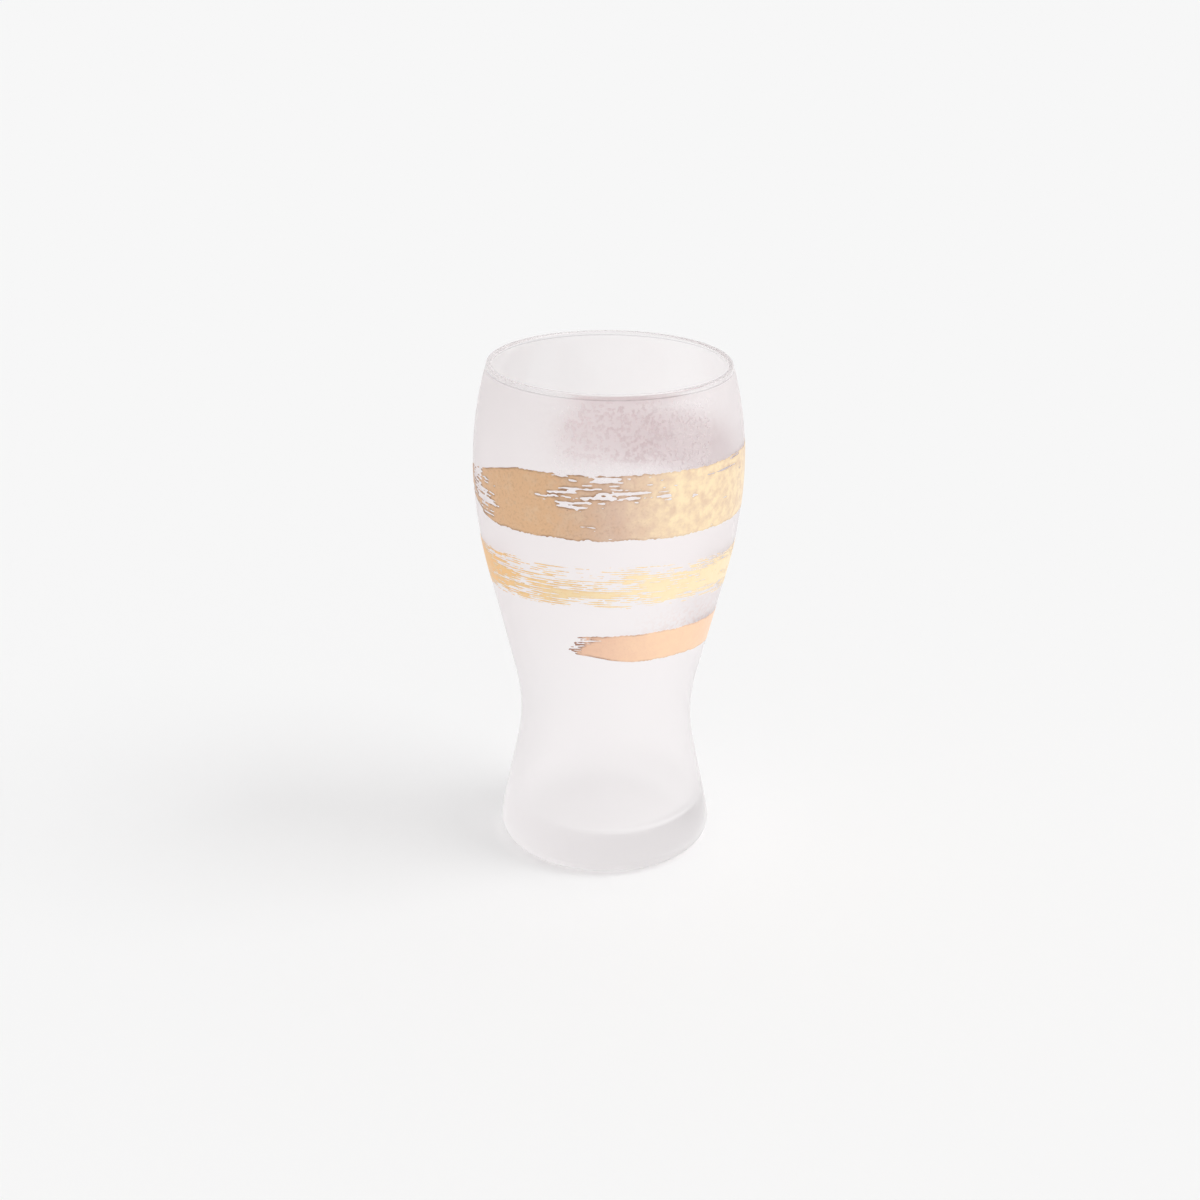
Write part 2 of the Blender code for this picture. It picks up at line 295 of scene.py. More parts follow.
# Painted reflection: a purplish tint for the gold's underside mirrored in the wall.
PAINTED_REFLECTION_TINT = (0.85, 0.70, 0.67)
GLASS_IOR = 1.5
GLASS_SHADE = (0.50, 0.47, 0.48, 1)
GLASS_DENSITY = 3.8
FROST_ROUGHNESS = 0.36
BARE_ROUGHNESS = 0.13
CLEAR_ROUGHNESS = 0.02
SPOTS_PER_METRE = 900
SPOT_NOISE = (0.46, 0.59)
# Along each axis the spots of a zone fade in from the first place to the second.
BARE_ZONE = (
    ("X", -0.022, 0.000),
    ("X", 0.036, 0.008),
    ("Y", 0.004, -0.008),
    ("Z", BELLY_HEIGHT, BELLY_HEIGHT + 0.007),
    ("Z", HEIGHT, BELLY_HEIGHT + 0.0225),
)
# Where the painted reflection of the gold's underside lies, above the right of the lower gold.
PAINTED_REFLECTION_ZONE = (
    ("X", 0.004, 0.020),
    ("Y", 0.004, -0.008),
    ("Z", BELLY_HEIGHT - 0.028, BELLY_HEIGHT - 0.0375),
    ("Z", BELLY_HEIGHT - 0.046, BELLY_HEIGHT - 0.042),
)
BLUSH_ZONE = (WAIST_HEIGHT + 0.015, WAIST_HEIGHT + 0.035)


def new_material(name):
    """A material with a Principled shader, and that shader."""
    material = bpy.data.materials.new(name)
    material.use_nodes = True
    return material, material.node_tree.nodes["Principled BSDF"]


def add_node(tree, kind, **inputs):
    """A node with some of its inputs set. An underscore in a name stands for a space."""
    node = tree.nodes.new(kind)
    for name, value in inputs.items():
        node.inputs[name.replace("_", " ")].default_value = value
    return node


def noise(tree, per_metre, detail=2.0, stretch=(1, 1, 1)):
    """A noise fixed to the object, with so many grains per metre."""
    place = tree.nodes.new("ShaderNodeTexCoord")
    mapping = add_node(tree, "ShaderNodeMapping", Scale=stretch)
    texture = add_node(tree, "ShaderNodeTexNoise", Scale=per_metre, Detail=detail)
    tree.links.new(place.outputs["Object"], mapping.inputs["Vector"])
    tree.links.new(mapping.outputs["Vector"], texture.inputs["Vector"])
    return texture.outputs["Fac"]


def between(tree, value, start, end, low, high):
    """Maps a value from start to end onto low to high."""
    ramp = add_node(
        tree, "ShaderNodeMapRange", From_Min=start, From_Max=end, To_Min=low, To_Max=high
    )
    tree.links.new(value, ramp.inputs["Value"])
    return ramp.outputs["Result"]


def maths(tree, operation, first, second):
    """The sum, product or larger of two sockets, kept between 0 and 1."""
    node = tree.nodes.new("ShaderNodeMath")
    node.operation = operation
    node.use_clamp = True
    tree.links.new(first, node.inputs[0])
    tree.links.new(second, node.inputs[1])
    return node.outputs["Value"]


def attribute(tree, name):
    """A value that the mesh keeps for its points or faces."""
    node = tree.nodes.new("ShaderNodeAttribute")
    node.attribute_name = name
    return node.outputs["Fac"]


def object_axis(tree, axis):
    """A coordinate of the object, in metres."""
    place = tree.nodes.new("ShaderNodeTexCoord")
    axes = tree.nodes.new("ShaderNodeSeparateXYZ")
    tree.links.new(place.outputs["Object"], axes.inputs["Vector"])
    return axes.outputs[axis]


def object_distance(tree):
    """Distance from the origin of the object, in metres."""
    place = tree.nodes.new("ShaderNodeTexCoord")
    length = tree.nodes.new("ShaderNodeVectorMath")
    length.operation = "LENGTH"
    tree.links.new(place.outputs["Object"], length.inputs[0])
    return length.outputs["Value"]


def mix_colour(tree, factor, first, second):
    """Mixes two colours, each a plain colour or a socket, by a factor socket."""
    mix = tree.nodes.new("ShaderNodeMix")
    mix.data_type = "RGBA"
    tree.links.new(factor, mix.inputs["Factor"])
    for name, colour in (("A", first), ("B", second)):
        socket = [s for s in mix.inputs if s.name == name and s.type == "RGBA"][0]
        if isinstance(colour, bpy.types.NodeSocket):
            tree.links.new(colour, socket)
        else:
            socket.default_value = (*colour, 1)
    return [s for s in mix.outputs if s.type == "RGBA"][0]


def spots_in(tree, grains, zone):
    """Small spots in the frost, which fade out towards the edges of a zone."""
    spots = between(tree, grains, *SPOT_NOISE, 0, 1)
    for axis, none, full in zone:
        in_zone = between(tree, object_axis(tree, axis), none, full, 0, 1)
        spots = maths(tree, "MULTIPLY", spots, in_zone)
    return spots


def glass_material():
    """Glass that is frosted where its faces say so."""
    material, shader = new_material("frosted_glass")
    tree = material.node_tree
    shader.inputs["Transmission Weight"].default_value = 1.0
    shader.inputs["IOR"].default_value = GLASS_IOR
    frost = attribute(tree, "frost")
    grains = noise(tree, SPOTS_PER_METRE, detail=5.0)
    spots = spots_in(tree, grains, BARE_ZONE)
    # Purplish spots of painted reflection, standing in for the gold's underside mirrored in the wall.
    painted_reflection = spots_in(tree, grains, PAINTED_REFLECTION_ZONE)
    blush = between(tree, object_axis(tree, "Z"), *BLUSH_ZONE, 0, 1)
    blushed = mix_colour(tree, blush, FROST_TINT, BLUSH_TINT)
    frosted = mix_colour(tree, painted_reflection, mix_colour(tree, spots, blushed, BARE_TINT), PAINTED_REFLECTION_TINT)
    tint = mix_colour(tree, frost, CLEAR_TINT, frosted)
    # Painted shade on the lip, by the lip_line note.
    lip_shaded_tint = mix_colour(tree, attribute(tree, "lip_line"), tint, PAINTED_LIP_SHADE_TINT)
    tree.links.new(lip_shaded_tint, shader.inputs["Base Color"])
    grain_left = between(tree, spots, 0, 1, 1, BARE_ROUGHNESS / FROST_ROUGHNESS)
    grain = maths(tree, "MULTIPLY", frost, grain_left)
    roughness = between(tree, grain, 0, 1, CLEAR_ROUGHNESS, FROST_ROUGHNESS)
    tree.links.new(roughness, shader.inputs["Roughness"])
    inside = add_node(tree, "ShaderNodeVolumeAbsorption", Color=GLASS_SHADE, Density=GLASS_DENSITY)
    tree.links.new(inside.outputs["Volume"], tree.nodes["Material Output"].inputs["Volume"])
    return material


glass_mesh.materials.append(glass_material())
print("glass finish:", glass_mesh.materials[0].name)

# %% [markdown]
# ## How a brush leaves gold
# The bands were brushed on. A loaded brush leaves a solid film with a slightly rough edge. As it runs
# dry, its bristles lose touch and leave long thin gaps along the stroke. The ends fray, because each
# bristle lands and lifts at another place. A picture of a stroke could be used as a mask, but real
# edges catch light and keep their shape in a mesh file, so the film is cut as geometry. First comes a
# noise for bristles: stretched along the stroke, with a fresh row of random values for every bristle.


# %% Bristle noise
def smooth_step(x):
    """Eases from 0 to 1, level at both ends."""
    return x * x * (3 - 2 * x)


def bristle_noise(rng, along, across, length, pitch):
    """Noise from -1 to 1 that runs for about length along a stroke and changes every pitch across."""
    along = along - along.min()
    lane = (across - across.min()) / pitch
    lanes = int(lane.max()) + 2
    knots = int(along.max() / length) + 3
    table = rng.uniform(-1, 1, (lanes, knots))
    shift = rng.uniform(0, 1, lanes)

    def value_on(row):
        place = along / length + shift[row]
        knot = place.astype(int)
        mix = smooth_step(place - knot)
        return table[row, knot] * (1 - mix) + table[row, knot + 1] * mix

    row = lane.astype(int)
    mix = smooth_step(lane - row)
    return value_on(row) * (1 - mix) + value_on(row + 1) * mix


print("bristle noise ready")

# %% [markdown]
# ## The three strokes
# Each stroke has a place on the wall, a width and two ends. It lies in a plane that is tilted a
# little, so it has a crest. At its ends it tapers, because the brush is round and its upper and lower
# bristles land later and lift sooner, and single bristles fray. Roughness scales the waves of its
# edges, bristle is how wide its bristles are, streak stretches the gaps that they leave, and ridge
# keeps the gaps in rows. Dryness says how much of the stroke is bare: at 0 it is half, at -2 next to
# nothing. Spots change it here and there. Each has an angle, a place across the stroke from -1 at its
# lower edge to 1 at its upper edge, a reach in both, and how much drier it is. Angles are in degrees
# round the glass, from the front and growing to the right.


# %% Strokes
@dataclass
class Stroke:
    """One stroke of the brush. Its tapers are in degrees, for the upper and the lower side."""

    node: str
    below_belly: float
    width: float
    tilt: float
    crest: float
    start: float
    end: float
    landing: tuple
    lifting: tuple
    fray: float
    roughness: float
    bristle: float
    streak: float
    ridge: float
    dryness: float
    edge_dryness: float
    spots: tuple
    seed: int

    def middle(self, angle):
        """Height of the middle of the stroke at an angle."""
        drop = 1 - np.cos(np.radians(angle - self.crest))
        return BELLY_HEIGHT - self.below_belly - self.tilt * drop


upper = Stroke(
    node="gold_band_upper",
    below_belly=0.0014,
    width=0.0168,
    tilt=0.0012,
    crest=14,
    start=-98,
    end=212,
    landing=(58, 36),
    lifting=(12, 12),
    fray=10,
    roughness=1.0,
    bristle=0.00105,
    streak=1.0,
    ridge=0.32,
    dryness=-2.7,
    edge_dryness=0.0,
    spots=(
        (-85, 0.0, 16, 1.5, 2.1),
        (-62, -0.40, 13, 0.40, 3.5),
        (-69, 0.30, 9, 0.30, 2.7),
        (-12, 0.25, 17, 0.42, 2.6),
        (-4, 0.85, 10, 0.20, 2.3),
        (8, 1.0, 16, 0.13, 2.3),
        (-18, 1.0, 8, 0.13, 2.2),
        (5, 0.40, 11, 0.30, 1.9),
        (-13, -0.53, 6, 0.12, 1.8),
        (20, 0.45, 9, 0.35, 1.6),
        (24, 0.32, 3, 0.11, 2.6),
        (38, 0.18, 3, 0.10, 3.2),
        (58, 0.72, 10, 0.08, 3.4),
        (66, 1.0, 16, 0.14, 2.2),
        (53, -0.56, 4, 0.10, 3.0),
        (125, 0.0, 28, 1.5, 2.0),
        (165, 0.0, 24, 1.5, 0.9),
        (206, 0.0, 30, 2.0, 2.5),
    ),
    seed=18,
)
middle = Stroke(
    node="gold_band_middle",
    below_belly=0.0230,
    width=0.0120,
    tilt=0.0035,
    crest=-3,
    start=-105,
    end=105,
    landing=(10, 10),
    lifting=(10, 10),
    fray=14,
    roughness=1.0,
    bristle=0.00060,
    streak=2.2,
    ridge=0.45,
    dryness=0.2,
    edge_dryness=1.2,
    spots=(
        (-80, 0.1, 22, 1.2, -1.9),
        (-38, -0.1, 24, 0.9, -0.3),
        (0, -0.42, 44, 0.45, -0.9),
        (-5, 0.60, 30, 0.50, 0.7),
        (42, 0.05, 26, 0.60, -1.1),
        (80, 0.0, 24, 1.0, -1.3),
    ),
    seed=21,
)
lower = Stroke(
    node="gold_band_lower",
    below_belly=0.0414,
    width=0.0086,
    tilt=0.0050,
    crest=22,
    start=-20.9,
    end=113.6,
    landing=(3, 34),
    lifting=(8, 8),
    fray=6,
    roughness=0.5,
    bristle=0.00072,
    streak=1.0,
    ridge=0.80,
    dryness=-3.4,
    edge_dryness=0.0,
    spots=(
        (-18, 0.1, 8, 0.9, 2.4),
        (-9, 0.74, 10, 0.14, 4.2),
        (-17, 0.95, 8, 0.2, 1.8),
        (-15, 0.30, 9, 0.30, 1.6),
        (106.6, 0.0, 14, 1.2, 3.2),
    ),
    seed=8,
)
STROKES = (upper, middle, lower)
print("strokes:", [stroke.node for stroke in STROKES])

# %% [markdown]
# ## Where the gold lies
# Over a fine grid on the wall, a cover value says how far inside the gold a point is: above 0 is
# gold, below 0 is bare glass. It is the least of four values: the distance to the rough edge of the
# stroke, the distances to its two frayed ends, and how wet the bristles are there. Long streaks,
# short ones and specks add up to the wetness, because a drying brush skips at all these lengths. A
# ridge along every bristle, which wanders a little, keeps the gaps in rows.

# %% Cover of a stroke
COLUMN = 0.00028
ROW = 0.00013
BLOCK = 4
EDGE_WAVES = ((0.00022, 0.0070), (0.00022, 0.0018), (0.00024, 0.0006))
STREAKS = ((0.65, 4.5, 1.0), (0.50, 2.0, 0.6), (0.40, 0.8, 0.35))
WET_DEPTH = 0.00020
ROUND_BRUSH = 1.5
WANDER = 0.35
WANDER_LENGTH = 0.02
WANDER_PITCH = 0.004


def stroke_grid(stroke):
    """Angles and heights of a grid that covers the stroke with a little room round it."""
    reach = math.radians(stroke.end - stroke.start) * BELLY_RADIUS
    columns = BLOCK * math.ceil(reach / COLUMN / BLOCK)
    angles = np.linspace(stroke.start - 1, stroke.end + 1, columns + 1)
    middles = stroke.middle(angles)
    margin = stroke.width / 2 + 4 * EDGE_WAVES[0][0]
    low, high = middles.min() - margin, middles.max() + margin
    rows = BLOCK * math.ceil((high - low) / ROW / BLOCK)
    return np.meshgrid(angles, np.linspace(low, high, rows + 1))


def frayed_end(rng, stroke, across, past_end, taper):
    """Distance inside a frayed end, in metres. past_end is in degrees, growing into the stroke."""
    bristle_end = bristle_noise(rng, across * 0, across, 1.0, stroke.bristle)
    share = 2 * across / stroke.width
    rounding = np.where(share > 0, *taper) * np.abs(share) ** ROUND_BRUSH
    return np.radians(past_end - rounding - stroke.fray * (0.5 + 0.5 * bristle_end)) * BELLY_RADIUS


def stroke_cover(stroke, angle, height):
    """How far inside the gold each point of the grid is, in metres."""
    rng = np.random.default_rng(stroke.seed)
    along = np.radians(angle) * BELLY_RADIUS
    across = height - stroke.middle(angle)
    edge = stroke.width / 2 - np.abs(across)
    for size, length in EDGE_WAVES:
        wave = bristle_noise(rng, along, across, length, stroke.width / 3)
        edge += stroke.roughness * size * wave
    start = frayed_end(rng, stroke, across, angle - stroke.start, stroke.landing)
    end = frayed_end(rng, stroke, across, stroke.end - angle, stroke.lifting)
    wander = WANDER * bristle_noise(rng, along, across, WANDER_LENGTH, WANDER_PITCH)
    ink = stroke.ridge * np.cos(2 * np.pi * (across / stroke.bristle + wander))
    for size, length, pitch in STREAKS:
        reach = length * stroke.streak * stroke.bristle
        ink = ink + size * bristle_noise(rng, along, across, reach, pitch * stroke.bristle)
    share = 2 * across / stroke.width
    dry = stroke.dryness + stroke.edge_dryness * share**4
    for at_angle, at_share, angle_reach, share_reach, drier in stroke.spots:
        off = ((angle - at_angle) / angle_reach) ** 2 + ((share - at_share) / share_reach) ** 2
        dry += drier * np.exp(-off)
    return np.minimum.reduce([edge, start, end, WET_DEPTH * (ink / ink.std() - dry)])


print(f"grid of {COLUMN * 1000:.2f} by {ROW * 1000:.2f} mm")

# %% [markdown]
# ## Cutting the film
# Marching squares turns the grid into a mesh: it goes round the four corners of each cell, keeps the
# corners that are gold, and adds a point where an edge of the cell crosses from gold to bare glass.
# Away from the edges whole blocks of cells become one polygon, which keeps the mesh light. The
# polygons make the outer skin of the film and, turned over, its underside. Walls along the cut close
# it into a thin solid. The underside has its own finish, because from inside the glass fired gold
# looks dull and purplish.

# %% Cut a film out of the grid
FILM_GAP = 0.00003
FILM_THICKNESS = 0.00006
GOLD = 0
UNDERSIDE = 1
SHARP_ANGLE = 40


def whole_blocks(gold):
    """Blocks of cells that are gold all over, with a border of False round them."""
    rows = gold.shape[0] // BLOCK
    columns = gold.shape[1] // BLOCK
    whole = np.ones((rows, columns), bool)
    for down in range(BLOCK + 1):
        for right in range(BLOCK + 1):
            whole &= gold[down:, right:][::BLOCK, ::BLOCK][:rows, :columns]
    return np.pad(whole, 1)


def block_polygon(whole, i, j):
    """Round a whole block, with the points between its corners only where its neighbour is fine."""
    row, column = (i - 1) * BLOCK, (j - 1) * BLOCK
    far_row, far_column = row + BLOCK, column + BLOCK
    sides = (
        (row, column, 0, 1, whole[i - 1, j]),
        (row, far_column, 1, 0, whole[i, j + 1]),
        (far_row, far_column, 0, -1, whole[i + 1, j]),
        (far_row, column, -1, 0, whole[i, j - 1]),
    )
    polygon = []
    for from_row, from_column, down, right, beside_whole in sides:
        steps = 1 if beside_whole else BLOCK
        polygon += [(from_row + down * k, from_column + right * k) for k in range(steps)]
    return polygon


def cell_polygon(cover, row, column, places):
    """The gold part of one cell. Points on the cut go into places with where they lie."""
    corners = [(row, column), (row, column + 1), (row + 1, column + 1), (row + 1, column)]
    polygon = []
    for here, there in zip(corners, corners[1:] + corners[:1]):
        if cover[here] > 0:
            polygon.append(here)
        if (cover[here] > 0) != (cover[there] > 0):
            key = tuple(sorted((here, there)))
            cut = cover[here] / (cover[here] - cover[there])
            places[key] = tuple(h + cut * (t - h) for h, t in zip(here, there))
            polygon.append(key)
    return polygon


def film_polygons(cover):
    """Polygons of a film as lists of point keys, and a dict of keys to (row, column) places."""
    gold = cover > 0
    whole = whole_blocks(gold)
    places = {}
    polygons = [block_polygon(whole, i, j) for i, j in np.argwhere(whole).tolist()]
    in_block = np.kron(whole[1:-1, 1:-1], np.ones((BLOCK, BLOCK), bool))
    shown = gold[:-1, :-1] | gold[:-1, 1:] | gold[1:, :-1] | gold[1:, 1:]
    for row, column in np.argwhere(shown & ~in_block).tolist():
        polygons.append(cell_polygon(cover, row, column, places))
    for polygon in polygons:
        places.update({key: key for key in polygon if key not in places})
    return polygons, places


def is_cut(key):
    """True for a point on the cut, whose key is the pair of grid points that it lies between."""
    return isinstance(key[0], tuple)


def film_points(places, angle, height, lift):
    """Points on the wall for the places of a film, lifted off it."""
    column_step = angle[0, 1] - angle[0, 0]
    row_step = height[1, 0] - height[0, 0]
    points = []
    for row, column in places.values():
        z = height[0, 0] + row * row_step
        turn = math.radians(angle[0, 0] + column * column_step)
        radius = outer_radius(z) + lift
        points.append((radius * math.sin(turn), -radius * math.cos(turn), z))
    return points


def gold_around(cover, rows=4, columns=2):
    """Share of gold in a small window round each point: 1 inside, about a half at an edge."""
    padded = np.pad(cover > 0, ((rows, rows), (columns, columns))).astype(float)
    total = np.zeros(cover.shape)
    for down in range(2 * rows + 1):
        for right in range(2 * columns + 1):
            total += padded[down:, right:][: cover.shape[0], : cover.shape[1]]
    return total / ((2 * rows + 1) * (2 * columns + 1))


def film_mesh(name, stroke):
    """The closed film of a stroke, with the share of gold round each point kept as an attribute."""
    angle, height = stroke_grid(stroke)
    cover = stroke_cover(stroke, angle, height)
    cover[[0, -1], :] = -ROW
    cover[:, [0, -1]] = -ROW
    polygons, places = film_polygons(cover)
    number = {key: i for i, key in enumerate(places)}
    count = len(number)
    faces = []
    finishes = []
    for polygon in polygons:
        top = [number[key] for key in polygon]
        faces.append(top)
        faces.append([i + count for i in reversed(top)])
        finishes += [GOLD, UNDERSIDE]
        for here, there in zip(polygon, polygon[1:] + polygon[:1]):
            if is_cut(here) and is_cut(there):
                a, b = number[here], number[there]
                faces.append([b, a, a + count, b + count])
                finishes.append(GOLD)
    points = film_points(places, angle, height, FILM_GAP + FILM_THICKNESS)
    points += film_points(places, angle, height, FILM_GAP)
    mesh = bpy.data.meshes.new(name)
    mesh.from_pydata(points, [], faces)
    mesh.polygons.foreach_set("material_index", finishes)
    around = gold_around(cover)
    shares = [0.5 if is_cut(key) else float(around[key]) for key in places]
    mesh.attributes.new("gold_around", "FLOAT", "POINT").data.foreach_set("value", shares * 2)
    mesh.shade_smooth()
    mesh.set_sharp_from_angle(angle=math.radians(SHARP_ANGLE))
    return mesh


print("film thickness", FILM_THICKNESS * 1000, "mm")

# %% [markdown]
# ## Gold finishes
# Fired gold is a thin metal film: it has no colour of its own but tints what it mirrors. Each finish
# has three colours from its left to its right, with noises that cloud, fleck and pit them. The change
# from left to right is partly the brush: deep and bronze where it left much, pale where it left
# little. It is partly painted light too: paler on the right, which faces the lamp, as a painted
# highlight, and darker and more orange on the left, as painted shade. Near its edges, which the kept
# share of gold shows, the film is darker in blotches. A fine noise gives the burnished grain, and a
# stretched one the low ridges that the bristles left. All this could be painted as a picture, but
# noise in the shader stays sharp at any size. Turn says where a finish has its middle and its right
# colour, as shares of the belly's radius.

# %% Gold finishes
CLOUDS_PER_METRE = 420
CLOUD_NOISE = (0.3, 0.7)
CLOUD_SHIFT = (-0.18, 0.18)
FLECKS_PER_METRE = 480
FLECK_NOISE = (0.32, 0.60)
BLOTCHES_PER_METRE = 350
BLOTCH_NOISE = (0.38, 0.58)
LEAST_BLOTCH = 0.15
PITS_PER_METRE = 1500
PIT_NOISE = (0.50, 0.72)
EDGE_SHARES = (0.95, 0.55)
DARK_AT_RIGHT = 0.25
RIDGES_PER_METRE = 450
RIDGE_STRETCH = (1, 1, 5)
RIDGE_HEIGHT = 0.0002
RIDGE_STRENGTH = 0.2
BURNISH_PER_METRE = 2600
BURNISH_NOISE = (0.3, 0.7)
BURNISH = (0.28, 0.46)
UNDERSIDE_CLOUDS_PER_METRE = 900
UNDERSIDE_NOISE = (0.35, 0.65)
UNDERSIDE_DARK = (0.74, 0.66, 0.67)
UNDERSIDE_PALE = (0.99, 0.95, 0.955)
UNDERSIDE_ROUGHNESS = 0.4


@dataclass
class GoldFinish:
    """Colours of a stroke, left to right and at its edge, and how strong its flecks and pits are."""

    slot: str
    left: tuple
    middle: tuple
    right: tuple
    edge: tuple
    turn: tuple
    fleck: float
    pits: float


def gold_material(finish):
    """Brushed gold. It is darkest at its edges and in its pits, and both fade to the right."""
    material, shader = new_material(finish.slot)
    tree = material.node_tree
    to_middle, to_right = (share * BELLY_RADIUS for share in finish.turn)
    x = object_axis(tree, "X")
    cloud = between(tree, noise(tree, CLOUDS_PER_METRE, detail=3.0), *CLOUD_NOISE, *CLOUD_SHIFT)
    fleck = between(tree, noise(tree, FLECKS_PER_METRE, detail=8.0), *FLECK_NOISE, finish.fleck, 1)
    # From left to right the colour follows the brush's load and painted light: painted shade on the
    # left, a painted highlight towards the lamp on the right.
    left_to_middle = between(tree, x, to_middle - BELLY_RADIUS / 2, to_middle, 0, 1)
    deep_and_shaded = maths(tree, "ADD", left_to_middle, cloud)
    load_and_light = between(tree, x, to_middle, to_right, 0, 1)
    thin_and_lit = maths(tree, "MULTIPLY", maths(tree, "ADD", load_and_light, cloud), fleck)
    body = mix_colour(tree, thin_and_lit, mix_colour(tree, deep_and_shaded, finish.left, finish.middle), finish.right)
    near_edge = between(tree, attribute(tree, "gold_around"), *EDGE_SHARES, 0, 1)
    blotches = noise(tree, BLOTCHES_PER_METRE, detail=4.0)
    blotch = between(tree, blotches, *BLOTCH_NOISE, LEAST_BLOTCH, 1)
    dark_edge = maths(tree, "MULTIPLY", near_edge, blotch)
    pits = between(tree, noise(tree, PITS_PER_METRE, detail=4.0), *PIT_NOISE, 0, finish.pits)
    left_side = between(tree, load_and_light, 0, 1, 1, DARK_AT_RIGHT)
    dark = maths(tree, "MULTIPLY", maths(tree, "MAXIMUM", dark_edge, pits), left_side)
    tree.links.new(mix_colour(tree, dark, body, finish.edge), shader.inputs["Base Color"])
    ridges = add_node(tree, "ShaderNodeBump", Strength=RIDGE_STRENGTH, Distance=RIDGE_HEIGHT)
    brushed = noise(tree, RIDGES_PER_METRE, detail=4.0, stretch=RIDGE_STRETCH)
    tree.links.new(brushed, ridges.inputs["Height"])
    tree.links.new(ridges.outputs["Normal"], shader.inputs["Normal"])
    shader.inputs["Metallic"].default_value = 1.0
    burnish = between(tree, noise(tree, BURNISH_PER_METRE), *BURNISH_NOISE, *BURNISH)
    tree.links.new(burnish, shader.inputs["Roughness"])
    return material


def underside_material():
    """The gold as it shows through the glass: dull and purplish."""
    material, shader = new_material("gold_underside")
    tree = material.node_tree
    clouds = noise(tree, UNDERSIDE_CLOUDS_PER_METRE, detail=3.0)
    cloud = between(tree, clouds, *UNDERSIDE_NOISE, 0, 1)
    colour = mix_colour(tree, cloud, UNDERSIDE_DARK, UNDERSIDE_PALE)
    tree.links.new(colour, shader.inputs["Base Color"])
    shader.inputs["Metallic"].default_value = 1.0
    shader.inputs["Roughness"].default_value = UNDERSIDE_ROUGHNESS
    return material


# Left colours hold painted shade and right colours a painted highlight, besides the brush's load.
finishes = {
    "gold_band_upper": GoldFinish(
        slot="bronze_gold",
        left=(0.82, 0.53, 0.32),
        middle=(0.72, 0.522, 0.41),
        right=(0.99, 0.805, 0.545),
        edge=(0.42, 0.25, 0.16),
        turn=(0.05, 0.5),
        fleck=0.40,
        pits=0.25,
    ),
    "gold_band_middle": GoldFinish(
        slot="pale_gold",
        left=(1.0, 0.62, 0.28),
        middle=(0.98, 0.77, 0.47),
        right=(0.99, 0.83, 0.57),
        edge=(0.90, 0.62, 0.32),
        turn=(-0.35, 0.3),
        fleck=0.70,
        pits=0.25,
    ),
    "gold_band_lower": GoldFinish(
        slot="rose_gold",
        left=(0.85, 0.53, 0.38),
        middle=(0.91, 0.608, 0.445),
        right=(0.98, 0.69, 0.48),
        edge=(0.42, 0.24, 0.18),
        turn=(-0.05, 0.4),
        fleck=0.70,
        pits=0.10,
    ),
}
underside = underside_material()
for stroke in STROKES:
    finish = finishes[stroke.node]
    mesh = film_mesh(stroke.node + "_film", stroke)
    mesh.materials.append(gold_material(finish))
    mesh.materials.append(underside)
    film = add_piece(stroke.node + "_film", mesh, stroke.node)
    print(film.name, len(mesh.polygons), "faces")

# %% [markdown]
# ## The studio
# The glass stands on a pale floor that runs on without an edge. A wide soft lamp stands to the right
# and a little in front, so the shadow falls to the left. A Sun lamp with a wide angle does this
# better than an Area lamp here: its light is as strong everywhere, and the floor stays even. The
# world is a dim white room that is brighter to the right. The camera sees it in the floor's own
# shade, so no horizon shows. Gold and glass see the floor as a glow without the shadow on it. It is
# brighter to the right, a little dimmer far behind, and darker right under the glass, where less
# light gets in.

# %% Floor, lamp and world
FLOOR_SHADE = 0.93
GLOW_LEFT = 0.87
GLOW_RIGHT = 1.06
GLOW_REACH = 0.07
GLOW_BEHIND = 0.93
GLOW_DEPTH = 0.5
GLOW_UNDER_GLASS = 0.94
UNDER_GLASS = (0.010, 0.028)
FLOOR_RADIUS = 6.0
FLOOR_SEGMENTS = 96
LAMP_ELEVATION = 47
LAMP_TURN = 83
LAMP_SPREAD = 34
LAMP_SHARE = 0.17
ROOM_LEFT = 0.58
ROOM_RIGHT = 1.08
GLASS_BOUNCES = 48
DIFFUSE_BOUNCES = 12


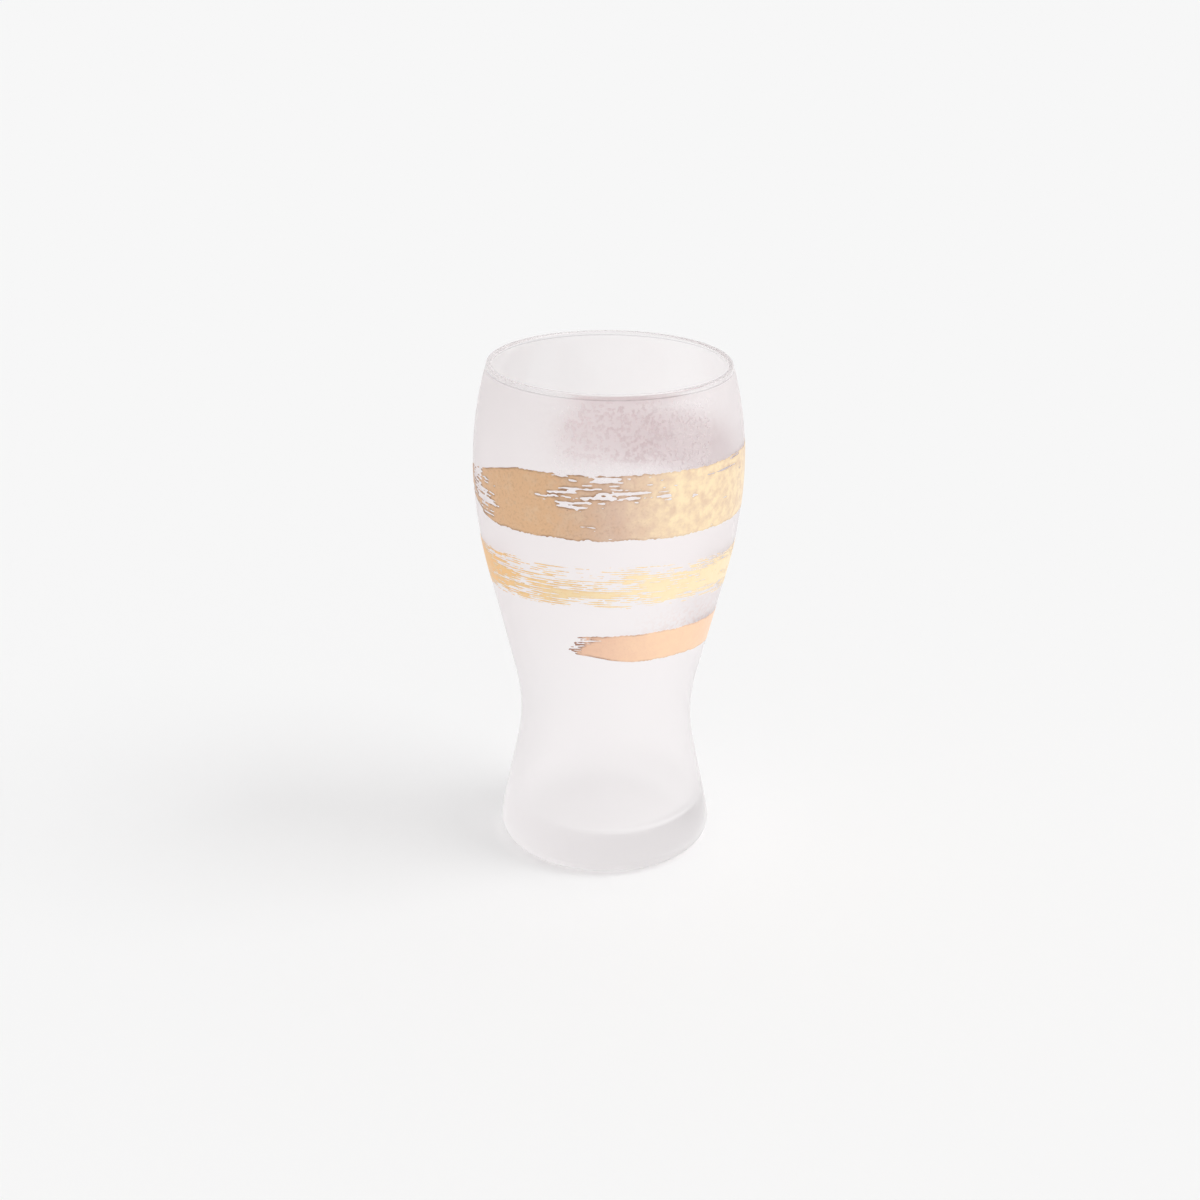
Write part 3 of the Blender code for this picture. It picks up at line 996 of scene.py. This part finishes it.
def make_floor():
    """A large pale disc, which gold and glass mirror without the shadow on it."""
    bm = bmesh.new()
    bmesh.ops.create_circle(bm, cap_ends=True, radius=FLOOR_RADIUS, segments=FLOOR_SEGMENTS)
    mesh = bpy.data.meshes.new("studio_floor")
    bm.to_mesh(mesh)
    bm.free()
    material, shader = new_material("pale_floor")
    shader.inputs["Base Color"].default_value = (FLOOR_SHADE, FLOOR_SHADE, FLOOR_SHADE, 1)
    shader.inputs["Roughness"].default_value = 1.0
    shader.inputs["Specular IOR Level"].default_value = 0.0
    tree = material.node_tree
    path = tree.nodes.new("ShaderNodeLightPath")
    glossy = path.outputs["Is Glossy Ray"]
    mirrored = maths(tree, "MAXIMUM", glossy, path.outputs["Is Transmission Ray"])
    glow = tree.nodes.new("ShaderNodeEmission")
    lit = between(tree, object_axis(tree, "X"), -GLOW_REACH, GLOW_REACH, GLOW_LEFT, GLOW_RIGHT)
    tree.links.new(lit, glow.inputs["Strength"])
    dimmed = between(tree, object_axis(tree, "Y"), 0, GLOW_DEPTH, 1, GLOW_BEHIND)
    shaded = between(tree, object_distance(tree), *UNDER_GLASS, GLOW_UNDER_GLASS, 1)
    tree.links.new(maths(tree, "MULTIPLY", dimmed, shaded), glow.inputs["Color"])
    mix = tree.nodes.new("ShaderNodeMixShader")
    tree.links.new(mirrored, mix.inputs["Fac"])
    tree.links.new(shader.outputs["BSDF"], mix.inputs[1])
    tree.links.new(glow.outputs["Emission"], mix.inputs[2])
    tree.links.new(mix.outputs["Shader"], tree.nodes["Material Output"].inputs["Surface"])
    material.cycles.emission_sampling = "NONE"
    mesh.materials.append(material)
    floor = bpy.data.objects.new("studio_floor", mesh)
    bpy.context.scene.collection.objects.link(floor)


def make_lamp():
    """A soft lamp that gives the floor LAMP_SHARE of its light."""
    lamp = bpy.data.lights.new("soft_lamp", "SUN")
    elevation = math.radians(LAMP_ELEVATION)
    lamp.energy = LAMP_SHARE * math.pi / math.sin(elevation)
    lamp.angle = math.radians(LAMP_SPREAD)
    turn = math.radians(LAMP_TURN)
    towards = Vector((math.sin(turn), -math.cos(turn), math.tan(elevation)))
    holder = bpy.data.objects.new("soft_lamp", lamp)
    holder.rotation_euler = towards.to_track_quat("Z", "Y").to_euler()
    bpy.context.scene.collection.objects.link(holder)


def make_world():
    """A white room, brighter to the right, which the camera sees in the shade of the floor."""
    world = bpy.data.worlds.new("pale_room")
    world.use_nodes = True
    tree = world.node_tree
    room = tree.nodes["Background"]
    place = tree.nodes.new("ShaderNodeTexCoord")
    axes = tree.nodes.new("ShaderNodeSeparateXYZ")
    tree.links.new(place.outputs["Generated"], axes.inputs["Vector"])
    brightness = between(tree, axes.outputs["X"], -1, 1, ROOM_LEFT, ROOM_RIGHT)
    tree.links.new(brightness, room.inputs["Strength"])
    room.inputs["Color"].default_value = (1, 1, 1, 1)
    shade = (FLOOR_SHADE, FLOOR_SHADE, FLOOR_SHADE, 1)
    backdrop = add_node(tree, "ShaderNodeBackground", Color=shade)
    path = tree.nodes.new("ShaderNodeLightPath")
    mix = tree.nodes.new("ShaderNodeMixShader")
    tree.links.new(path.outputs["Is Camera Ray"], mix.inputs["Fac"])
    tree.links.new(room.outputs["Background"], mix.inputs[1])
    tree.links.new(backdrop.outputs["Background"], mix.inputs[2])
    tree.links.new(mix.outputs["Shader"], tree.nodes["World Output"].inputs["Surface"])
    bpy.context.scene.world = world


make_floor()
make_lamp()
make_world()
bpy.context.scene.view_settings.view_transform = "Standard"
light_paths = bpy.context.scene.cycles
light_paths.max_bounces = GLASS_BOUNCES
light_paths.transmission_bounces = GLASS_BOUNCES
light_paths.glossy_bounces = GLASS_BOUNCES
light_paths.diffuse_bounces = DIFFUSE_BOUNCES
light_paths.blur_glossy = 0.0
print("studio ready")

# %% [markdown]
# ## The camera
# The photograph looks down at the glass from about 22 degrees, from half a metre away with a medium
# lens. The place, lens and tilt were worked out from the ellipses of rim and foot and from the
# outline between them. They could be found by eye, but the ellipses fix them more closely.

# %% Camera
CAMERA_ELEVATION = 22.47
CAMERA_DISTANCE = 0.512
CAMERA_LENS = 57.43
CAMERA_ROLL = 0.60
SENSOR_WIDTH = 36
MID_HEIGHT = HEIGHT / 2
AIM = Vector((-0.0019, 0.0, 0.0682))

camera_data = bpy.data.cameras.new("camera")
camera_data.lens = CAMERA_LENS
camera_data.sensor_width = SENSOR_WIDTH
camera_data.clip_start = 0.01
camera = bpy.data.objects.new("camera", camera_data)
tilt = math.radians(CAMERA_ELEVATION)
back = CAMERA_DISTANCE * math.cos(tilt)
up = CAMERA_DISTANCE * math.sin(tilt)
camera.location = (0, -back, MID_HEIGHT + up)
look = (AIM - camera.location).to_track_quat("-Z", "Y")
camera.rotation_euler = (look @ Quaternion((0, 0, 1), math.radians(CAMERA_ROLL))).to_euler()
bpy.context.scene.collection.objects.link(camera)
bpy.context.scene.camera = camera
print("camera at", [round(x, 4) for x in camera.location])
